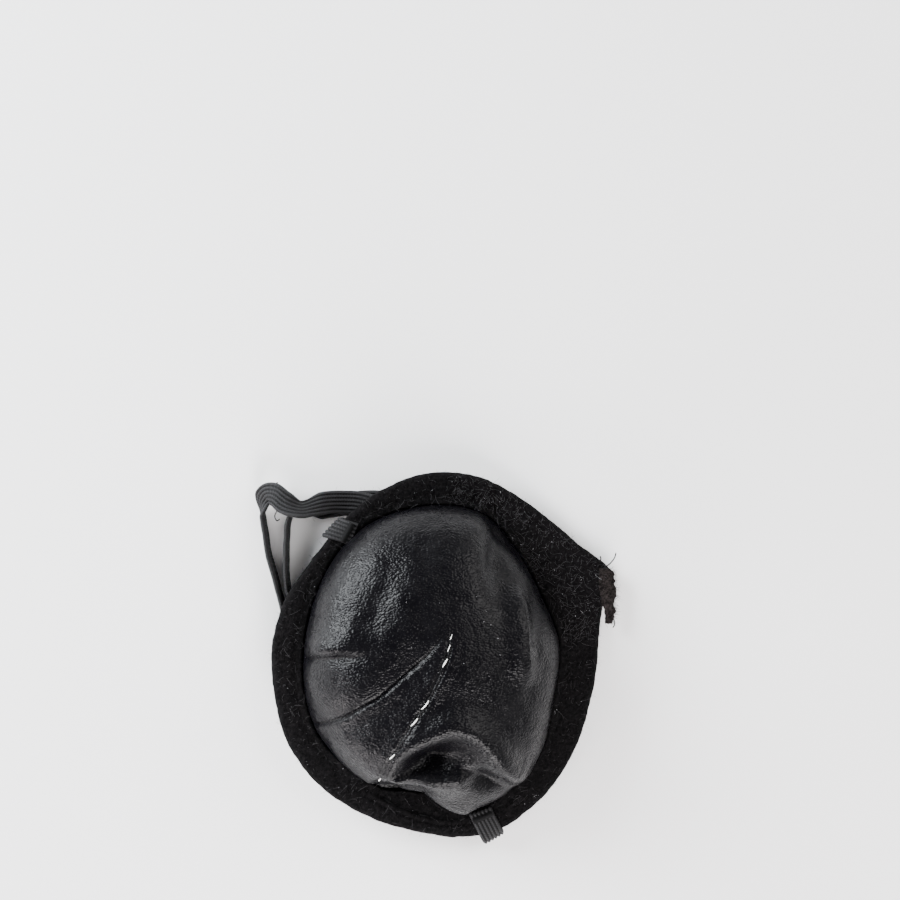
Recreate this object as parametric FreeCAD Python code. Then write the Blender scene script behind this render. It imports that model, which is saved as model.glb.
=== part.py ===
"""Eye patch: a domed vinyl patch bound with felt tape, on one length of braided elastic.

The patch lies on a table with its domed side up. Millimetres, +Z up. The origin is under
the middle of the patch, on the table. The patch is modelled flat, then leaned on the part
of its own strap that lies under its left side.
"""
import FreeCAD, Part
import math
import os
from FreeCAD import Rotation, Vector

os.makedirs("parts", exist_ok=True)

# Driving dimensions
TAPE = 0.8             # felt binding tape, thickness
VINYL = 0.8            # outer vinyl, thickness
LINING = 0.4           # lining fabric, thickness
BACK_LEAF = 6.5        # width of the tape's leaf on the worn side
DOME_TOP = 20.4        # top of the dome above the underside of the rim
LEAN = 4.6             # degrees, left side up
STRAP_WIDTH = 4.8
STRAP_THICK = 1.1
STITCH = 2.4           # length of one stitch
THREAD = 0.45          # thread, as it lies on the cloth
TACK_LONG = 4.0        # bar tack across the strap
TACK_WIDE = 1.1
TACK_IN = 1.4          # from the strap's cut end to the middle of the tack
BINDING_PITCH = 3.6    # of the stitches through the tape
THREAD_LINE = 1.05     # size of the line that they follow, against the front leaf's window
DART_PITCH = 4.56      # of the dart's stitches that show
DART_SLANT = -18       # degrees between a dart stitch and the dart's edge
REACH = 0.45           # how much of its shorter run each arc of the strap takes up
ARC_STEP = 18          # degrees of arc from one section of the strap to the next

# The stack at the rim, from the worn side up
BACK_TOP = TAPE
LINING_TOP = BACK_TOP + LINING
VINYL_TOP = LINING_TOP + VINYL
FRONT_TOP = VINYL_TOP + TAPE

MEAN_RADIUS = 35.0     # of the patch, which turns an inset into a scale
WINDOW_RADIUS = 28.5   # of the opening in the front leaf
MIDDLE = Vector(-2.0, -1.0, 0)

# Outer edge of the patch: round, a little drawn up at the top, with one corner at the right
OUTLINE = [
    (34.3, 17.2), (33.5, 12.0), (32.4, 7.0), (31.9, 1.0), (30.1, -10.6), (24.0, -25.2),
    (18.2, -31.6), (8.4, -36.9), (2.0, -37.4), (-8.0, -35.6), (-21.0, -29.9),
    (-31.5, -18.3), (-34.9, -4.5), (-34.9, 2.4), (-32.6, 10.3), (-24.9, 22.1),
    (-15.4, 31.9), (-5.7, 36.4), (5.3, 36.7), (15.7, 31.8), (24.4, 25.2), (32.4, 18.9),
]
# Inner edge of the tape's front leaf, which is widest at the corner
WINDOW = [
    (0.9, 30.6), (9.0, 28.2), (15.2, 21.0), (21.1, 9.8), (23.8, 1.0), (22.6, -8.0),
    (20.4, -18.4), (16.2, -25.1), (9.8, -30.0), (2.2, -32.1), (-7.3, -30.1),
    (-17.2, -24.4), (-25.4, -16.4), (-28.7, -5.0), (-28.2, 4.5), (-24.6, 16.2),
    (-17.0, 25.8), (-9.3, 29.4),
]
# Section of the folded edge: inset, and height as a share of the whole rim's
FOLDED_EDGE = [(1.1, 0.0), (0.35, 0.12), (0.0, 0.4), (0.0, 0.6), (0.35, 0.88), (1.1, 1.0)]
# Sections of the dome: size against the window, and height against the dome's own
DOME_SECTIONS = [
    (0.985, 0.0), (0.98, 0.1), (0.955, 0.27), (0.89, 0.5), (0.77, 0.72), (0.6, 0.87),
    (0.4, 0.96), (0.2, 0.992),
]
# The second raw end of the tape, seen from above
TAPE_END = [(31.2, 17.4), (34.6, 17.4), (35.2, 12.6), (34.4, 6.0), (33.4, 6.0), (31.4, 7.6)]
# The stitched edge of the dart, from the rim towards the middle of the dome
DART_EDGE = [(-12.4, -24.6), (-2.0, -4.2)]

# Middle line of the elastic, from its left end to its bottom end: x, y, z and the roll of
# its width, which is 0 lying flat and 90 standing on edge
ON_EDGE = STRAP_WIDTH / 2
LEFT_END = [(-18.2, 24.6, 7.5, 0), (-22.8, 26.0, 7.9, 0), (-22.8, 26.0, 3.9, 0),
            (-18.2, 24.6, 3.5, 0)]
UNDER_LEFT = [(-13.6, 20.8, 3.2, 45), (-11.8, 13.8, ON_EDGE, 90), (-10.0, 6.6, ON_EDGE, 90),
              (-4.4, 1.8, ON_EDGE, 90), (2.8, 4.2, ON_EDGE, 90), (5.4, 11.0, ON_EDGE, 90),
              (3.4, 17.6, ON_EDGE, 90), (-0.8, 22.6, 2.6, 90)]
OUT_TO_LEFT = [(-5.2, 26.0, 4.1, 50), (-10.6, 28.7, 2.6, 5), (-16.6, 30.7, 1.9, 0),
               (-21.2, 31.1, 2.4, 0), (-24.6, 30.9, 4.0, 6), (-27.4, 29.8, 5.3, 40),
               (-29.8, 29.5, 6.0, 46), (-32.5, 30.9, 6.2, 14), (-35.0, 32.1, 5.4, 4)]
LEFT_FOLD = [(-37.5, 31.5, 3.6, 42), (-37.4, 28.2, ON_EDGE, 90)]
LOOP = [(-36.8, 24.4, ON_EDGE, 90), (-36.3, 20.6, ON_EDGE, 90), (-34.8, 15.6, ON_EDGE, 90),
        (-33.4, 10.4, ON_EDGE, 90), (-31.8, 3.4, ON_EDGE, 90), (-29.0, -4.8, ON_EDGE, 90),
        (-23.8, -11.8, ON_EDGE, 90), (-16.2, -15.2, ON_EDGE, 90), (-9.2, -12.0, ON_EDGE, 90),
        (-8.4, -4.6, ON_EDGE, 90), (-14.4, -0.4, ON_EDGE, 90), (-21.4, 1.8, ON_EDGE, 90),
        (-28.0, 5.6, ON_EDGE, 90), (-31.9, 11.2, ON_EDGE, 90), (-32.6, 16.0, ON_EDGE, 90),
        (-32.5, 20.2, ON_EDGE, 90), (-32.4, 23.8, ON_EDGE, 90)]
BACK_UNDER = [(-32.2, 27.0, ON_EDGE, 90), (-31.2, 28.9, ON_EDGE, 90),
              (-28.4, 29.1, 2.2, 80), (-25.6, 29.7, 0.9, 12), (-22.4, 30.3, 0.6, 0),
              (-19.0, 30.6, 0.6, 0), (-15.4, 31.0, 0.6, 0),
              (-10.2, 30.6, 0.6, 0), (-4.6, 28.4, 0.6, 3), (1.0, 25.4, 2.3, 60),
              (6.8, 22.6, ON_EDGE, 90)]
WANDER = [(12.6, 18.8, ON_EDGE, 90), (16.8, 13.4, ON_EDGE, 90), (18.4, 7.0, ON_EDGE, 90),
          (17.4, 2.0, ON_EDGE, 90), (11.6, -2.8, ON_EDGE, 90), (4.4, -4.0, ON_EDGE, 90),
          (-1.6, -7.8, ON_EDGE, 90), (-4.0, -14.0, ON_EDGE, 90), (-1.4, -20.0, ON_EDGE, 90),
          (3.8, -24.4, 2.4, 60)]
BOTTOM_END = [(6.5, -28.6, 1.5, 5), (7.8, -32.8, 1.5, 0), (10.1, -37.5, 1.4, 0),
              (10.1, -37.5, 5.4, 0), (7.0, -31.5, 5.5, 0)]


def flat_wire(points, height, scale=1.0, about=Vector(0, 0, 0)):
    """A closed smooth outline at a height, scaled about a point."""
    placed = []
    for x, y in points:
        flat = about + (Vector(x, y, 0) - about) * scale
        placed.append(Vector(flat.x, flat.y, height))
    curve = Part.BSplineCurve()
    curve.interpolate(Points=placed, PeriodicFlag=True)
    return Part.Wire([curve.toShape()])


def sheet(points, low, high, inset=0.0, radius=MEAN_RADIUS, about=Vector(0, 0, 0)):
    """A flat sheet of an outline, between two heights."""
    wire = flat_wire(points, low, 1 - inset / radius, about)
    return Part.Face(wire).extrude(Vector(0, 0, high - low))


def dome(inset):
    """The closed solid under one skin of the dome."""
    rise = DOME_TOP - LINING_TOP - inset
    sections = []
    for size, height in DOME_SECTIONS:
        scale = size * (1 - inset / WINDOW_RADIUS)
        sections.append(flat_wire(WINDOW, LINING_TOP + rise * height, scale, MIDDLE))
    top = Part.Vertex(MIDDLE.x, MIDDLE.y, LINING_TOP + rise)
    return Part.makeLoft(sections + [top], True, False)


def vinyl_shell():
    flange = sheet(OUTLINE, LINING_TOP, VINYL_TOP, TAPE)
    return flange.fuse(dome(0)).cut(dome(VINYL)).removeSplitter()


def shell_lining():
    flange = sheet(OUTLINE, BACK_TOP, LINING_TOP, TAPE)
    mouth_inset = WINDOW_RADIUS * (1 - DOME_SECTIONS[0][0]) + VINYL + LINING
    mouth = sheet(WINDOW, BACK_TOP, LINING_TOP, mouth_inset, WINDOW_RADIUS, MIDDLE)
    hollow = dome(VINYL + LINING).fuse(mouth)
    return flange.fuse(dome(VINYL)).cut(hollow).removeSplitter()


def binding_tape():
    """Felt tape folded round the rim: a channel with a front and a back leaf."""
    block = Part.makeLoft([
        flat_wire(OUTLINE, FRONT_TOP * share, 1 - inset / MEAN_RADIUS)
        for inset, share in FOLDED_EDGE
    ], True, True)
    channel = sheet(OUTLINE, BACK_TOP, VINYL_TOP, TAPE)
    window = sheet(WINDOW, VINYL_TOP, FRONT_TOP)
    back_window = sheet(OUTLINE, 0, BACK_TOP, BACK_LEAF)
    return block.cut(channel).cut(window).cut(back_window)


def tape_end():
    """The second raw end of the tape, lapped over the first at the corner."""
    corners = [Vector(x, y, FRONT_TOP) for x, y in TAPE_END + TAPE_END[:1]]
    wire = Part.makePolygon(corners)
    return Part.Face(wire).extrude(Vector(0, 0, TAPE))


def stitch(start, end):
    """One stitch of thread between two points."""
    run = end - start
    return Part.makeCylinder(THREAD / 2, run.Length, start, run)


def binding_thread():
    """The row of stitches that holds both leaves of the tape, near the window."""
    edge = flat_wire(WINDOW, FRONT_TOP, THREAD_LINE).Edges[0]
    count = int(edge.Length / BINDING_PITCH)
    spots = edge.discretize(Number=3 * count + 1)
    face = sheet(OUTLINE, 0, FRONT_TOP)
    stitches = [stitch(spots[3 * i], spots[3 * i + 2]) for i in range(count)]
    return Part.makeCompound([s.cut(face) for s in stitches])


def on_dome(skin, x, y):
    """The point of the dome's surface over x, y."""
    line = Part.makeLine(Vector(x, y, 0), Vector(x, y, 2 * DOME_TOP))
    return max((v.Point for v in line.common(skin).Vertexes), key=lambda p: p.z)


def dart_thread():
    """Slanted stitches along the edge of the dart, lying on the dome."""
    skin = dome(0)
    start, end = (Vector(x, y, 0) for x, y in DART_EDGE)
    run = (end - start).normalize()
    slant = Rotation(Vector(0, 0, 1), DART_SLANT).multVec(run) * STITCH
    count = int((end - start).Length / DART_PITCH) + 1
    stitches = []
    for i in range(count):
        low = start + run * (DART_PITCH * i)
        high = low + slant
        one = stitch(on_dome(skin, low.x, low.y), on_dome(skin, high.x, high.y))
        stitches.append(one.cut(skin))
    return Part.makeCompound(stitches)


def lean(shape):
    """Lean a piece of the patch on the strap, left side up."""
    leant = shape.copy()
    leant.rotate(Vector(0, 0, 0), Vector(0, 1, 0), LEAN)
    return leant


def plan(vector):
    """A vector seen from above."""
    return Vector(vector.x, vector.y, 0)


def rounded(points):
    """A band's middle line, of straight runs joined by tangent arcs: its places, each with
    a heading and a position counted in route points, its radii and its length."""
    runs = [b - a for a, b in zip(points, points[1:])]
    places = [(points[0], runs[0].normalize(), 0.0)]
    radii = []
    length = 0.0
    before = points[0]
    for i in range(1, len(points) - 1):
        into = (points[i] - points[i - 1]).normalize()
        out = (points[i + 1] - points[i]).normalize()
        shorter = min(points[i].distanceToPoint(points[i - 1]),
                      points[i].distanceToPoint(points[i + 1]))
        turn = into.getAngle(out)
        reach = REACH * shorter
        radius = reach / math.tan(turn / 2)
        radii.append(radius)
        axis = into.cross(out).normalize()
        first = points[i] - into * reach
        centre = first + axis.cross(into) * radius
        length += before.distanceToPoint(first) + radius * turn
        before = points[i] + out * reach
        steps = max(2, math.ceil(math.degrees(turn) / ARC_STEP))
        for k in range(steps + 1):
            swing = Rotation(axis, math.degrees(turn) * k / steps)
            place = centre + swing.multVec(first - centre)
            places.append((place, swing.multVec(into), i + REACH * (2 * k / steps - 1)))
    length += before.distanceToPoint(points[-1])
    last = (points[-1] - points[-2]).normalize()
    places.append((points[-1], last, float(len(points) - 1)))
    return places, radii, length


def sides(route):
    """The direction of the band's width at each route point."""
    found = []
    last = len(route) - 1
    for i, (x, y, z, roll) in enumerate(route):
        before = Vector(*route[max(i - 1, 0)][:3])
        after = Vector(*route[min(i + 1, last)][:3])
        across = Vector(0, 0, 1).cross(plan(after - before)).normalize()
        angle = math.radians(roll)
        side = across * math.cos(angle) + Vector(0, 0, 1) * math.sin(angle)
        if found and side.dot(found[-1]) < 0:
            side = side * -1
        found.append(side)
    return found


def section(place, heading, side):
    """The band's cross-section, lifted where it would go through the table."""
    across = (side - heading * side.dot(heading)).normalize() * (STRAP_WIDTH / 2)
    up = heading.cross(across).normalize() * (STRAP_THICK / 2)
    corners = [place + across + up, place - across + up, place - across - up,
               place + across - up]
    lift = Vector(0, 0, max(0.0, -min(c.z for c in corners)))
    corners = [c + lift for c in corners]
    return Part.makePolygon(corners + corners[:1])


def strap_pieces(stretches):
    """The band's solids, one for each named stretch, which meet face to face."""
    route = [point for _, stretch in stretches for point in stretch]
    points = [Vector(*p[:3]) for p in route]
    places, radii, length = rounded(points)
    widths = sides(route)
    placed = []
    for place, heading, at in places:
        low = min(int(at), len(widths) - 2)
        side = widths[low] * (low + 1 - at) + widths[low + 1] * (at - low)
        placed.append((at, section(place, heading, side)))
    print("strap: middle line %.1f mm, radii %s" % (length, [round(r, 1) for r in radii]))
    solids = {}
    counted = 0
    start = 0
    for name, stretch in stretches:
        counted += len(stretch)
        stop = sum(at < counted - 0.5 for at, _ in placed[:-1])
        wires = [wire for _, wire in placed[start:stop + 1]]
        solids[name] = Part.makeLoft(wires, True, True)
        start = stop
    return solids, length


def tack(end, beside):
    """A bar of close stitches across the strap, on top of its sewn end."""
    along = (beside - end).normalize()
    across = Vector(0, 0, 1).cross(along).normalize()
    up = along.cross(across)
    middle = end + along * TACK_IN + up * (STRAP_THICK / 2)
    long = across * (TACK_LONG / 2)
    wide = along * (TACK_WIDE / 2)
    corners = [middle + long + wide, middle - long + wide, middle - long - wide,
               middle + long - wide]
    bar = Part.Face(Part.makePolygon(corners + corners[:1]))
    return bar.extrude(up * THREAD)


patch = {
    "vinyl_shell": vinyl_shell(),
    "shell_lining": shell_lining(),
    "binding_tape": binding_tape(),
    "binding_tape_end": tape_end(),
    "binding_thread": binding_thread(),
    "dart_thread": dart_thread(),
}
patch = {name: lean(shape) for name, shape in patch.items()}
box = Part.makeCompound(list(patch.values())).BoundBox
settle = Vector(-box.Center.x, -box.Center.y, -box.ZMin)
for shape in patch.values():
    shape.translate(settle)
print("patch settled by", settle, "box", box.XLength, box.YLength, box.ZLength)

strap, strap_length = strap_pieces([
    ("strap_left_end", LEFT_END),
    ("strap_under_left", UNDER_LEFT),
    ("strap_run_to_left", OUT_TO_LEFT),
    ("strap_left_fold", LEFT_FOLD),
    ("strap_loop", LOOP),
    ("strap_run_back", BACK_UNDER),
    ("strap_under_middle", WANDER),
    ("strap_bottom_end", BOTTOM_END),
])
rim = patch["binding_tape"].fuse([patch["vinyl_shell"]] + patch["binding_thread"].Solids)
for name in ("strap_left_end", "strap_bottom_end"):
    strap[name] = strap[name].cut(rim)
patch["strap_tack_left"] = tack(Vector(*LEFT_END[0][:3]), Vector(*LEFT_END[1][:3]))
patch["strap_tack_bottom"] = tack(Vector(*BOTTOM_END[-1][:3]), Vector(*BOTTOM_END[-2][:3]))
for name, shape in {**patch, **strap}.items():
    shape.exportStep("parts/%s.step" % name)
    print(name, "valid", shape.isValid(), "solids", len(shape.Solids), "volume", shape.Volume)
print("strap volume", sum(s.Volume for s in strap.values()),
      "section times length", STRAP_WIDTH * STRAP_THICK * strap_length)
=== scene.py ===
"""Eye patch: a dished vinyl dome in a folded felt binding, on one length of braided elastic.

Metres, in the frame of the CAD part: +Z up, the origin on the table under the patch. The
patch is built level, then leaned like the CAD part. The dome's folds are given where they
lie on the leaned patch, seen from above.
"""
import math
import random

import bpy
import numpy as np
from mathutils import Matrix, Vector, noise


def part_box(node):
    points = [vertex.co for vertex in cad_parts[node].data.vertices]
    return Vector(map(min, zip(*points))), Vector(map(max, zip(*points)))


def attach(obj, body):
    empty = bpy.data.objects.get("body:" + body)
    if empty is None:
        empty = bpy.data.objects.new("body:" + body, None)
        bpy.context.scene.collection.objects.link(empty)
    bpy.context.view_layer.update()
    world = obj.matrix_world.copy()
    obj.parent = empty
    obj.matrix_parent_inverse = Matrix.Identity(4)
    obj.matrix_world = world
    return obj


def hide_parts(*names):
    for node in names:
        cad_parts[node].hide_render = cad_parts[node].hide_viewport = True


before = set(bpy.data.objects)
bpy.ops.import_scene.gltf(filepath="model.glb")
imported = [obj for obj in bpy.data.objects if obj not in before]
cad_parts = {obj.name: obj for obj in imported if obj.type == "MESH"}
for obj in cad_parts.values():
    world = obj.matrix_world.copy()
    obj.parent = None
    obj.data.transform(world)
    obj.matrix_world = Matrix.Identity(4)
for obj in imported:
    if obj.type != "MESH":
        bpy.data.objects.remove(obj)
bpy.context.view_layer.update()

MM = 0.001
BODY = "root"

# The patch, as in the CAD part
TAPE = 0.0008          # felt binding tape, thickness
VINYL = 0.0008         # outer vinyl, thickness
LINING = 0.0004        # lining fabric, thickness
BACK_LEAF = 0.0065     # width of the tape's leaf on the worn side
DOME_TOP = 0.0204      # top of the dome above the underside of the rim
LEAN = math.radians(4.6)
BACK_TOP = TAPE
LINING_TOP = BACK_TOP + LINING
VINYL_TOP = LINING_TOP + VINYL
FRONT_TOP = VINYL_TOP + TAPE
MIDDLE = np.array((-0.0020, -0.0010))
SPOKES = 720           # points round each ring of the dome and of the binding
ANGLES = np.arange(SPOKES) * (2 * math.pi / SPOKES)

# Outer edge of the patch
OUTLINE = [
    (0.0343, 0.0172), (0.0335, 0.0120), (0.0324, 0.0070), (0.0319, 0.0010),
    (0.0301, -0.0106), (0.0240, -0.0252), (0.0182, -0.0316), (0.0084, -0.0369),
    (0.0020, -0.0374), (-0.0080, -0.0356), (-0.0210, -0.0299), (-0.0315, -0.0183),
    (-0.0349, -0.0045), (-0.0349, 0.0024), (-0.0326, 0.0103), (-0.0249, 0.0221),
    (-0.0154, 0.0319), (-0.0057, 0.0364), (0.0053, 0.0367), (0.0157, 0.0318),
    (0.0244, 0.0252), (0.0324, 0.0189),
]
# Inner edge of the tape's front leaf
WINDOW = [
    (0.0009, 0.0306), (0.0090, 0.0282), (0.0152, 0.0210), (0.0211, 0.0098),
    (0.0238, 0.0010), (0.0226, -0.0080), (0.0204, -0.0184), (0.0162, -0.0251),
    (0.0098, -0.0300), (0.0022, -0.0321), (-0.0073, -0.0301), (-0.0172, -0.0244),
    (-0.0254, -0.0164), (-0.0287, -0.0050), (-0.0282, 0.0045), (-0.0246, 0.0162),
    (-0.0170, 0.0258), (-0.0093, 0.0294),
]

# The elastic's route, from its left end to its bottom end: x, y, z, and the roll of its
# width, which is 0 lying flat and 90 standing on edge
STRAP_WIDTH = 0.0048
STRAP_THICK = 0.0011
RIBS = 6
HALF_RIB = STRAP_WIDTH / RIBS / 2
EDGE = STRAP_WIDTH / 2
ROUTE = [
    (-0.0182, 0.0246, 0.0075, 0), (-0.0228, 0.0260, 0.0079, 0), (-0.0228, 0.0260, 0.0039, 0),
    (-0.0182, 0.0246, 0.0035, 0), (-0.0136, 0.0208, 0.0032, 45), (-0.0118, 0.0138, EDGE, 90),
    (-0.0100, 0.0066, EDGE, 90), (-0.0044, 0.0018, EDGE, 90), (0.0028, 0.0042, EDGE, 90),
    (0.0054, 0.0110, EDGE, 90), (0.0034, 0.0176, EDGE, 90), (-0.0008, 0.0226, 0.0026, 90),
    (-0.0052, 0.0260, 0.0041, 50), (-0.0106, 0.0287, 0.0026, 5), (-0.0166, 0.0307, 0.0019, 0),
    (-0.0212, 0.0311, 0.0024, 0), (-0.0246, 0.0309, 0.0040, 6), (-0.0274, 0.0298, 0.0053, 40),
    (-0.0298, 0.0295, 0.0060, 46), (-0.0325, 0.0309, 0.0062, 14), (-0.0347, 0.0330, 0.0054, 4),
    (-0.0373, 0.0325, 0.0036, 28), (-0.0374, 0.0282, EDGE, 90), (-0.0368, 0.0244, EDGE, 90),
    (-0.0363, 0.0206, EDGE, 90), (-0.0348, 0.0156, EDGE, 90), (-0.0334, 0.0104, EDGE, 90),
    (-0.0318, 0.0034, EDGE, 90), (-0.0290, -0.0048, EDGE, 90), (-0.0238, -0.0118, EDGE, 90),
    (-0.0162, -0.0152, EDGE, 90), (-0.0092, -0.0120, EDGE, 90), (-0.0084, -0.0046, EDGE, 90),
    (-0.0144, -0.0004, EDGE, 90), (-0.0214, 0.0018, EDGE, 90), (-0.0280, 0.0056, EDGE, 90),
    (-0.0319, 0.0112, EDGE, 90), (-0.0326, 0.0160, EDGE, 90), (-0.0325, 0.0202, EDGE, 90),
    (-0.0324, 0.0238, EDGE, 90), (-0.0322, 0.0270, EDGE, 90), (-0.0312, 0.0289, EDGE, 90),
    (-0.0284, 0.0291, 0.0022, 80), (-0.0256, 0.0297, 0.0009, 12), (-0.0224, 0.0303, 0.0006, 0),
    (-0.0190, 0.0306, 0.0006, 0), (-0.0154, 0.0310, 0.0006, 0), (-0.0102, 0.0306, 0.0006, 0),
    (-0.0046, 0.0284, 0.0006, 3), (0.0010, 0.0254, 0.0023, 60), (0.0068, 0.0226, EDGE, 90),
    (0.0126, 0.0188, EDGE, 90), (0.0168, 0.0134, EDGE, 90), (0.0184, 0.0070, EDGE, 90),
    (0.0174, 0.0020, EDGE, 90), (0.0116, -0.0028, EDGE, 90), (0.0044, -0.0040, EDGE, 90),
    (-0.0016, -0.0078, EDGE, 90), (-0.0040, -0.0140, EDGE, 90), (-0.0014, -0.0200, EDGE, 90),
    (0.0038, -0.0244, 0.0024, 60), (0.0065, -0.0286, 0.0015, 5), (0.0078, -0.0328, 0.0015, 0),
    (0.0101, -0.0375, 0.0014, 0), (0.0101, -0.0375, 0.0054, 0), (0.0070, -0.0315, 0.0055, 0),
]
# How far the width is turned from square to the route, in degrees, where the elastic folds
# slantwise round the rim
SKEW = {0: -4, 1: -27, 2: -27, 3: -8, 63: 3, 64: 3, 65: -8}


# Camera ----------------------------

def add_camera():
    """Looks straight down from beyond the patch, which so lies low in the frame."""
    data = bpy.data.cameras.new("camera")
    data.sensor_width = 36
    data.lens = 68.3
    camera = bpy.data.objects.new("camera", data)
    camera.location = (0.0011, 0.04165, 0.353)
    bpy.context.scene.collection.objects.link(camera)
    bpy.context.scene.camera = camera


add_camera()


# Mesh helpers ----------------------

def add_piece(name, points, faces, material):
    """A mesh object, riding on the patch's body."""
    mesh = bpy.data.meshes.new(name)
    mesh.from_pydata([tuple(p) for p in np.asarray(points)], [], [tuple(f) for f in faces])
    mesh.materials.append(material)
    mesh.polygons.foreach_set("use_smooth", [True] * len(mesh.polygons))
    mesh.update()
    piece = bpy.data.objects.new(name, mesh)
    bpy.context.scene.collection.objects.link(piece)
    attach(piece, BODY)
    return piece


def grid_faces(rows, columns, wrap_rows=False, start=0):
    """Quads of a grid whose points run row by row, each row closed into a ring."""
    faces = []
    for i in range(rows if wrap_rows else rows - 1):
        low = start + i * columns
        high = start + (i + 1) % rows * columns
        for j in range(columns):
            k = (j + 1) % columns
            faces.append((low + j, low + k, high + k, high + j))
    return faces


def end_caps(rows, columns):
    """Quads that close both ends of a flat tube, whose rings run over it and back under it."""
    faces = []
    for start, flip in ((0, False), ((rows - 1) * columns, True)):
        for j in range(columns // 2 - 1):
            cap = (start + j, start + j + 1, start + columns - 2 - j, start + columns - 1 - j)
            faces.append(cap if flip else cap[::-1])
    return faces


def unit(vectors):
    """Each vector at a length of 1."""
    lengths = np.linalg.norm(vectors, axis=-1, keepdims=True)
    return vectors / np.maximum(lengths, 1e-12)


def grid_normals(grid):
    """Outward normals of rings x spokes, which run outward and anticlockwise."""
    outward = np.gradient(grid, axis=0)
    round_it = np.roll(grid, -1, axis=1) - np.roll(grid, 1, axis=1)
    return unit(np.cross(outward, round_it))


def roughly(points, size, seed):
    """Smooth noise at each point, from about -1 to 1, with lumps of that size."""
    offset = Vector((seed * 7.31, seed * 3.77, seed * 1.93))
    return np.array([noise.fractal(Vector(p) / size + offset, 1, 2, 3) for p in points])


def tubes(paths, radii, sides):
    """Points and faces of thin closed tubes that taper as their radii say."""
    points = []
    faces = []
    for path, radius in zip(paths, radii):
        path = np.asarray(path, dtype=float)
        along = unit(np.gradient(path, axis=0))
        up = (0, 0, 1) if abs(along[0][2]) < 0.8 else (1, 0, 0)
        one = unit(np.cross(along, up))
        two = np.cross(along, one)
        start = len(points)
        for p, a, b, r in zip(path, one, two, np.broadcast_to(radius, len(path))):
            for k in range(sides):
                turn = 2 * math.pi * k / sides
                points.append(p + (a * math.cos(turn) + b * math.sin(turn)) * r)
        faces += grid_faces(len(path), sides, start=start)
        last = start + (len(path) - 1) * sides
        faces.append(tuple(range(start, start + sides)))
        faces.append(tuple(reversed(range(last, last + sides))))
    return points, faces


# Materials -------------------------

class Finish:
    """A node material with one Principled shader."""

    def __init__(self, name, **sockets):
        self.material = bpy.data.materials.new(name)
        self.material.use_nodes = True
        self.nodes = self.material.node_tree.nodes
        self.links = self.material.node_tree.links
        self.shader = self.nodes["Principled BSDF"]
        for socket, value in sockets.items():
            self.shader.inputs[socket.replace("_", " ")].default_value = value
        self.place = self.nodes.new("ShaderNodeTexCoord").outputs["Object"]
        self.normal = None

    def add(self, kind, **sockets):
        node = self.nodes.new("ShaderNode" + kind)
        for socket, value in sockets.items():
            self.plug(node.inputs[socket.replace("_", " ")], value)
        return node

    def plug(self, socket, value):
        if isinstance(value, bpy.types.NodeSocket):
            self.links.new(value, socket)
        else:
            socket.default_value = value

    def noise(self, size, detail=3.0, roughness=0.6, place=None):
        """Noise from about 0.3 to 0.7, with lumps of that size."""
        node = self.add("TexNoise", Vector=place or self.place, Scale=1 / size,
                        Detail=detail, Roughness=roughness)
        return node.outputs["Fac"]

    def cells(self, size, place):
        """Distance from the middle of each rounded cell of that size."""
        node = self.add("TexVoronoi", Vector=place, Scale=1 / size)
        node.feature = "SMOOTH_F1"
        return node.outputs["Distance"]

    def between(self, value, low, high, to_low=0.0, to_high=1.0):
        """A value remapped from one range to another, and held inside it."""
        node = self.add("MapRange", Value=value, From_Min=low, From_Max=high,
                        To_Min=to_low, To_Max=to_high)
        return node.outputs["Result"]

    def math(self, operation, *values):
        node = self.nodes.new("ShaderNodeMath")
        node.operation = operation
        for socket, value in zip(node.inputs, values):
            self.plug(socket, value)
        return node.outputs["Value"]

    def warped(self, place, by, far):
        """A place pushed along all three axes by a value times a distance."""
        node = self.nodes.new("ShaderNodeVectorMath")
        node.operation = "MULTIPLY_ADD"
        for socket, value in zip(node.inputs, (by, (far, far, far), place)):
            self.plug(socket, value)
        return node.outputs["Vector"]

    def colour(self, factor, low, high):
        """A colour between two, into the base colour."""
        node = self.nodes.new("ShaderNodeMix")
        node.data_type = "RGBA"
        self.plug(node.inputs["Factor"], factor)
        node.inputs["A"].default_value = (*low, 1)
        node.inputs["B"].default_value = (*high, 1)
        self.links.new(node.outputs["Result"], self.shader.inputs["Base Color"])

    def bump(self, height, depth, strength=1.0):
        """One more layer of relief, of a depth in metres."""
        node = self.add("Bump", Height=height, Distance=depth, Strength=strength)
        if self.normal:
            self.links.new(self.normal, node.inputs["Normal"])
        self.normal = node.outputs["Normal"]
        self.links.new(self.normal, self.shader.inputs["Normal"])


def vinyl_finish():
    """Black grained vinyl: pebbles of about half a millimetre, slightly drawn out."""
    finish = Finish("black_vinyl", Specular_IOR_Level=0.10)
    stretched = finish.add("Mapping", Vector=finish.place, Rotation=(0, 0, 0.6),
                           Scale=(1.0, 1.45, 1.2)).outputs["Vector"]
    moved = finish.warped(stretched, finish.noise(1.2 * MM, 2.0), 0.4 * MM)
    pebbles = finish.cells(0.46 * MM, moved)
    finish.colour(finish.noise(6 * MM), (0.0012, 0.0012, 0.0017), (0.0028, 0.0026, 0.0033))
    rough = finish.between(finish.noise(3.5 * MM, 4.0), 0.35, 0.65, 0.22, 0.34)
    finish.plug(finish.shader.inputs["Roughness"], rough)
    finish.bump(finish.noise(0.16 * MM, 2.0), 0.01 * MM)
    finish.bump(finish.math("MULTIPLY", pebbles, -1.0), 0.15 * MM)
    finish.bump(finish.noise(1.9 * MM, 2.0), 0.03 * MM)
    return finish.material


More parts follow.
